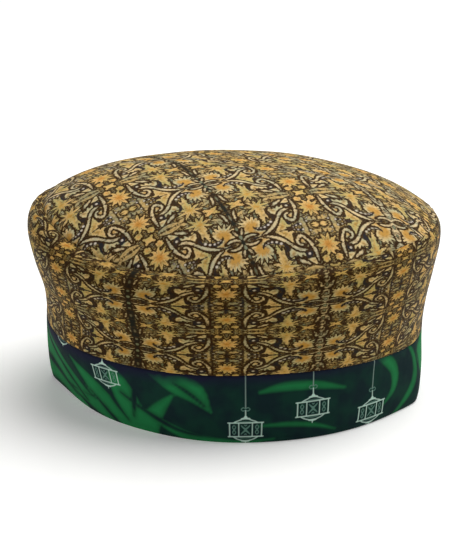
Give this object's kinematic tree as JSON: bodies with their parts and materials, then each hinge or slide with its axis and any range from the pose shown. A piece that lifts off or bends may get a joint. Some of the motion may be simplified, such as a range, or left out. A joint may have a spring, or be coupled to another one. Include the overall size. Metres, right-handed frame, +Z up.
{
  "type": "prayer cap",
  "caption": "Round soft prayer cap: a domed crown sewn to a tall side wall that leans outwards, over a plain band at the rim. Hollow and open below.",
  "frame": {"origin": "on the surface that the cap stands on, under the middle of its outer box", "axes": "+Z up from the rim to the crown, +X to the right of the side seen first, which faces -Y"},
  "size_m": [0.2038, 0.1824, 0.1091],
  "materials": {
    "crown_cloth": "woven polyester with a printed gold arabesque, soft sheen",
    "wall_cloth": "woven polyester with a printed gold arabesque, soft sheen",
    "band_cloth": "woven polyester, printed dark green with pale hanging lanterns, soft sheen"
  },
  "bodies": {
    "root": {"crown": "crown_cloth", "side_wall": "wall_cloth", "band": "band_cloth"}
  },
  "joints": []
}
